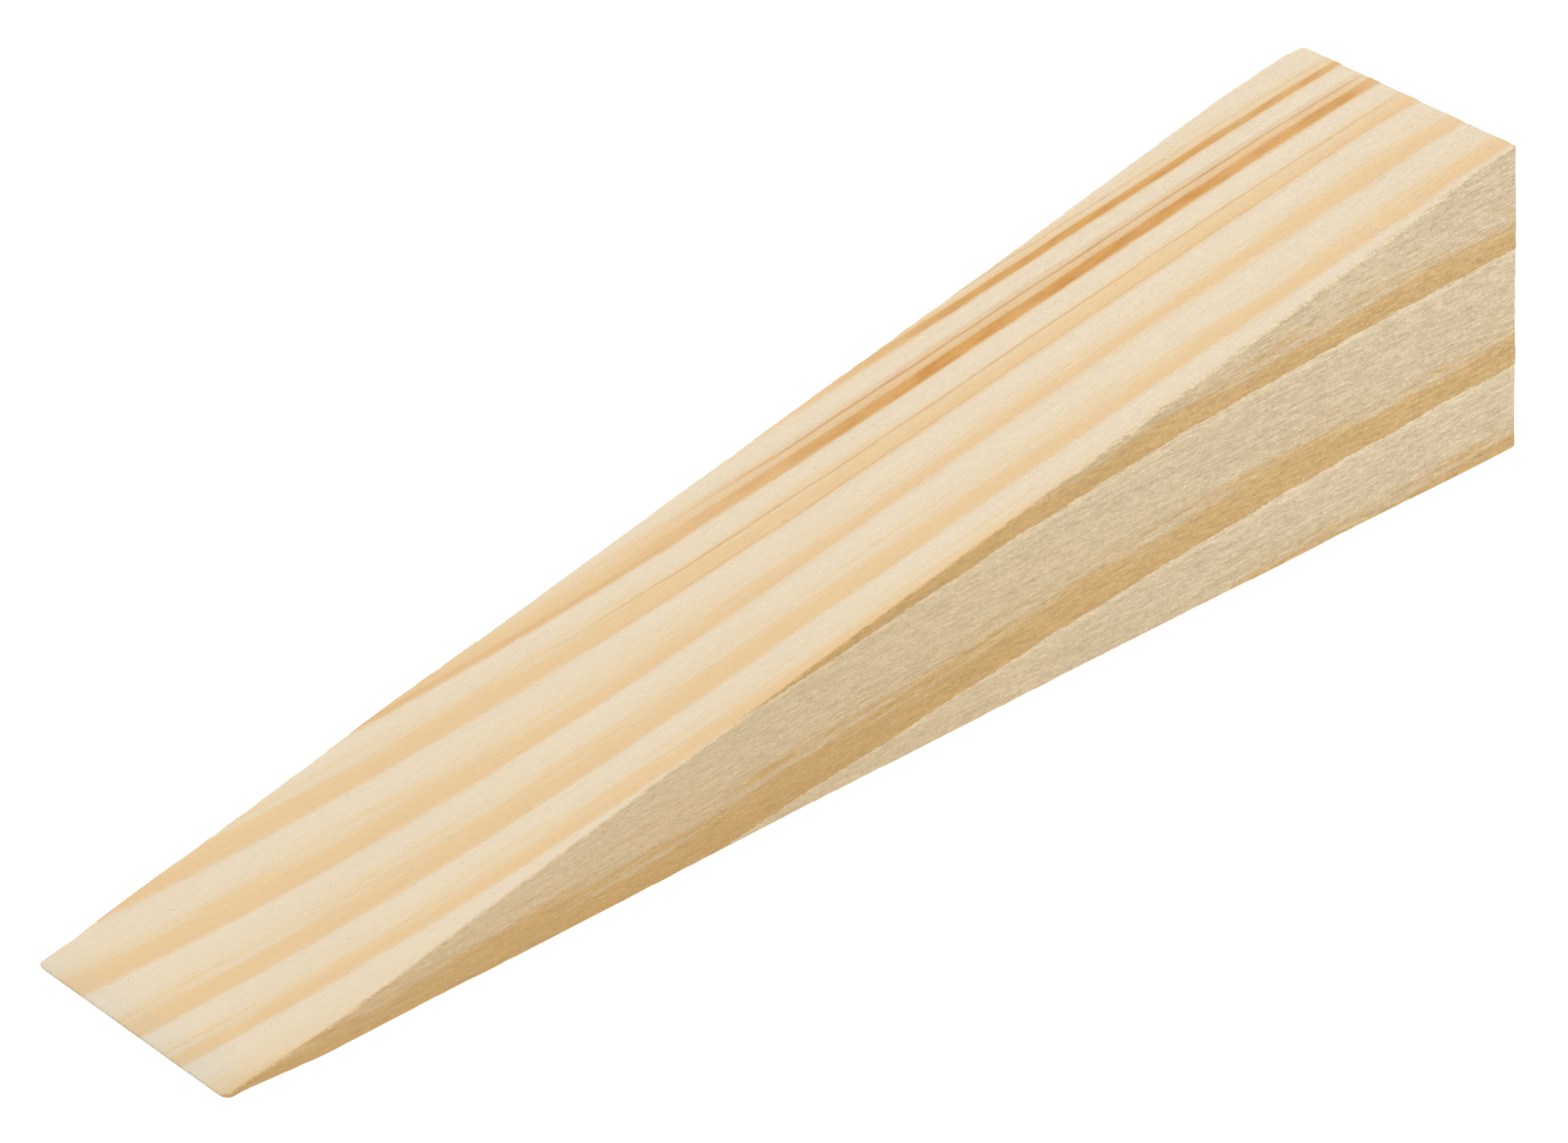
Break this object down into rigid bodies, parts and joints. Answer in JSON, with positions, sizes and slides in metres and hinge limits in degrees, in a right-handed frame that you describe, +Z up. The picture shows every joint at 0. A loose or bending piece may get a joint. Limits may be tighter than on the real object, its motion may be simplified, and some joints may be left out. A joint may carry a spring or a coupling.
{
  "type": "door wedge",
  "caption": "Solid softwood wedge with a flat base and one sloped top face, thin at one end, pushed under a door to hold it open.",
  "frame": {"origin": "on the base, below the centre of the bounding box", "axes": "+X along the length towards the thick end, so the thin end is at -X; +Y across the width; +Z up from the base"},
  "size_m": [0.12, 0.022, 0.025],
  "materials": {
    "pine": "rough sawn, bare"
  },
  "bodies": {
    "root": {"wedge": "pine"}
  },
  "joints": []
}
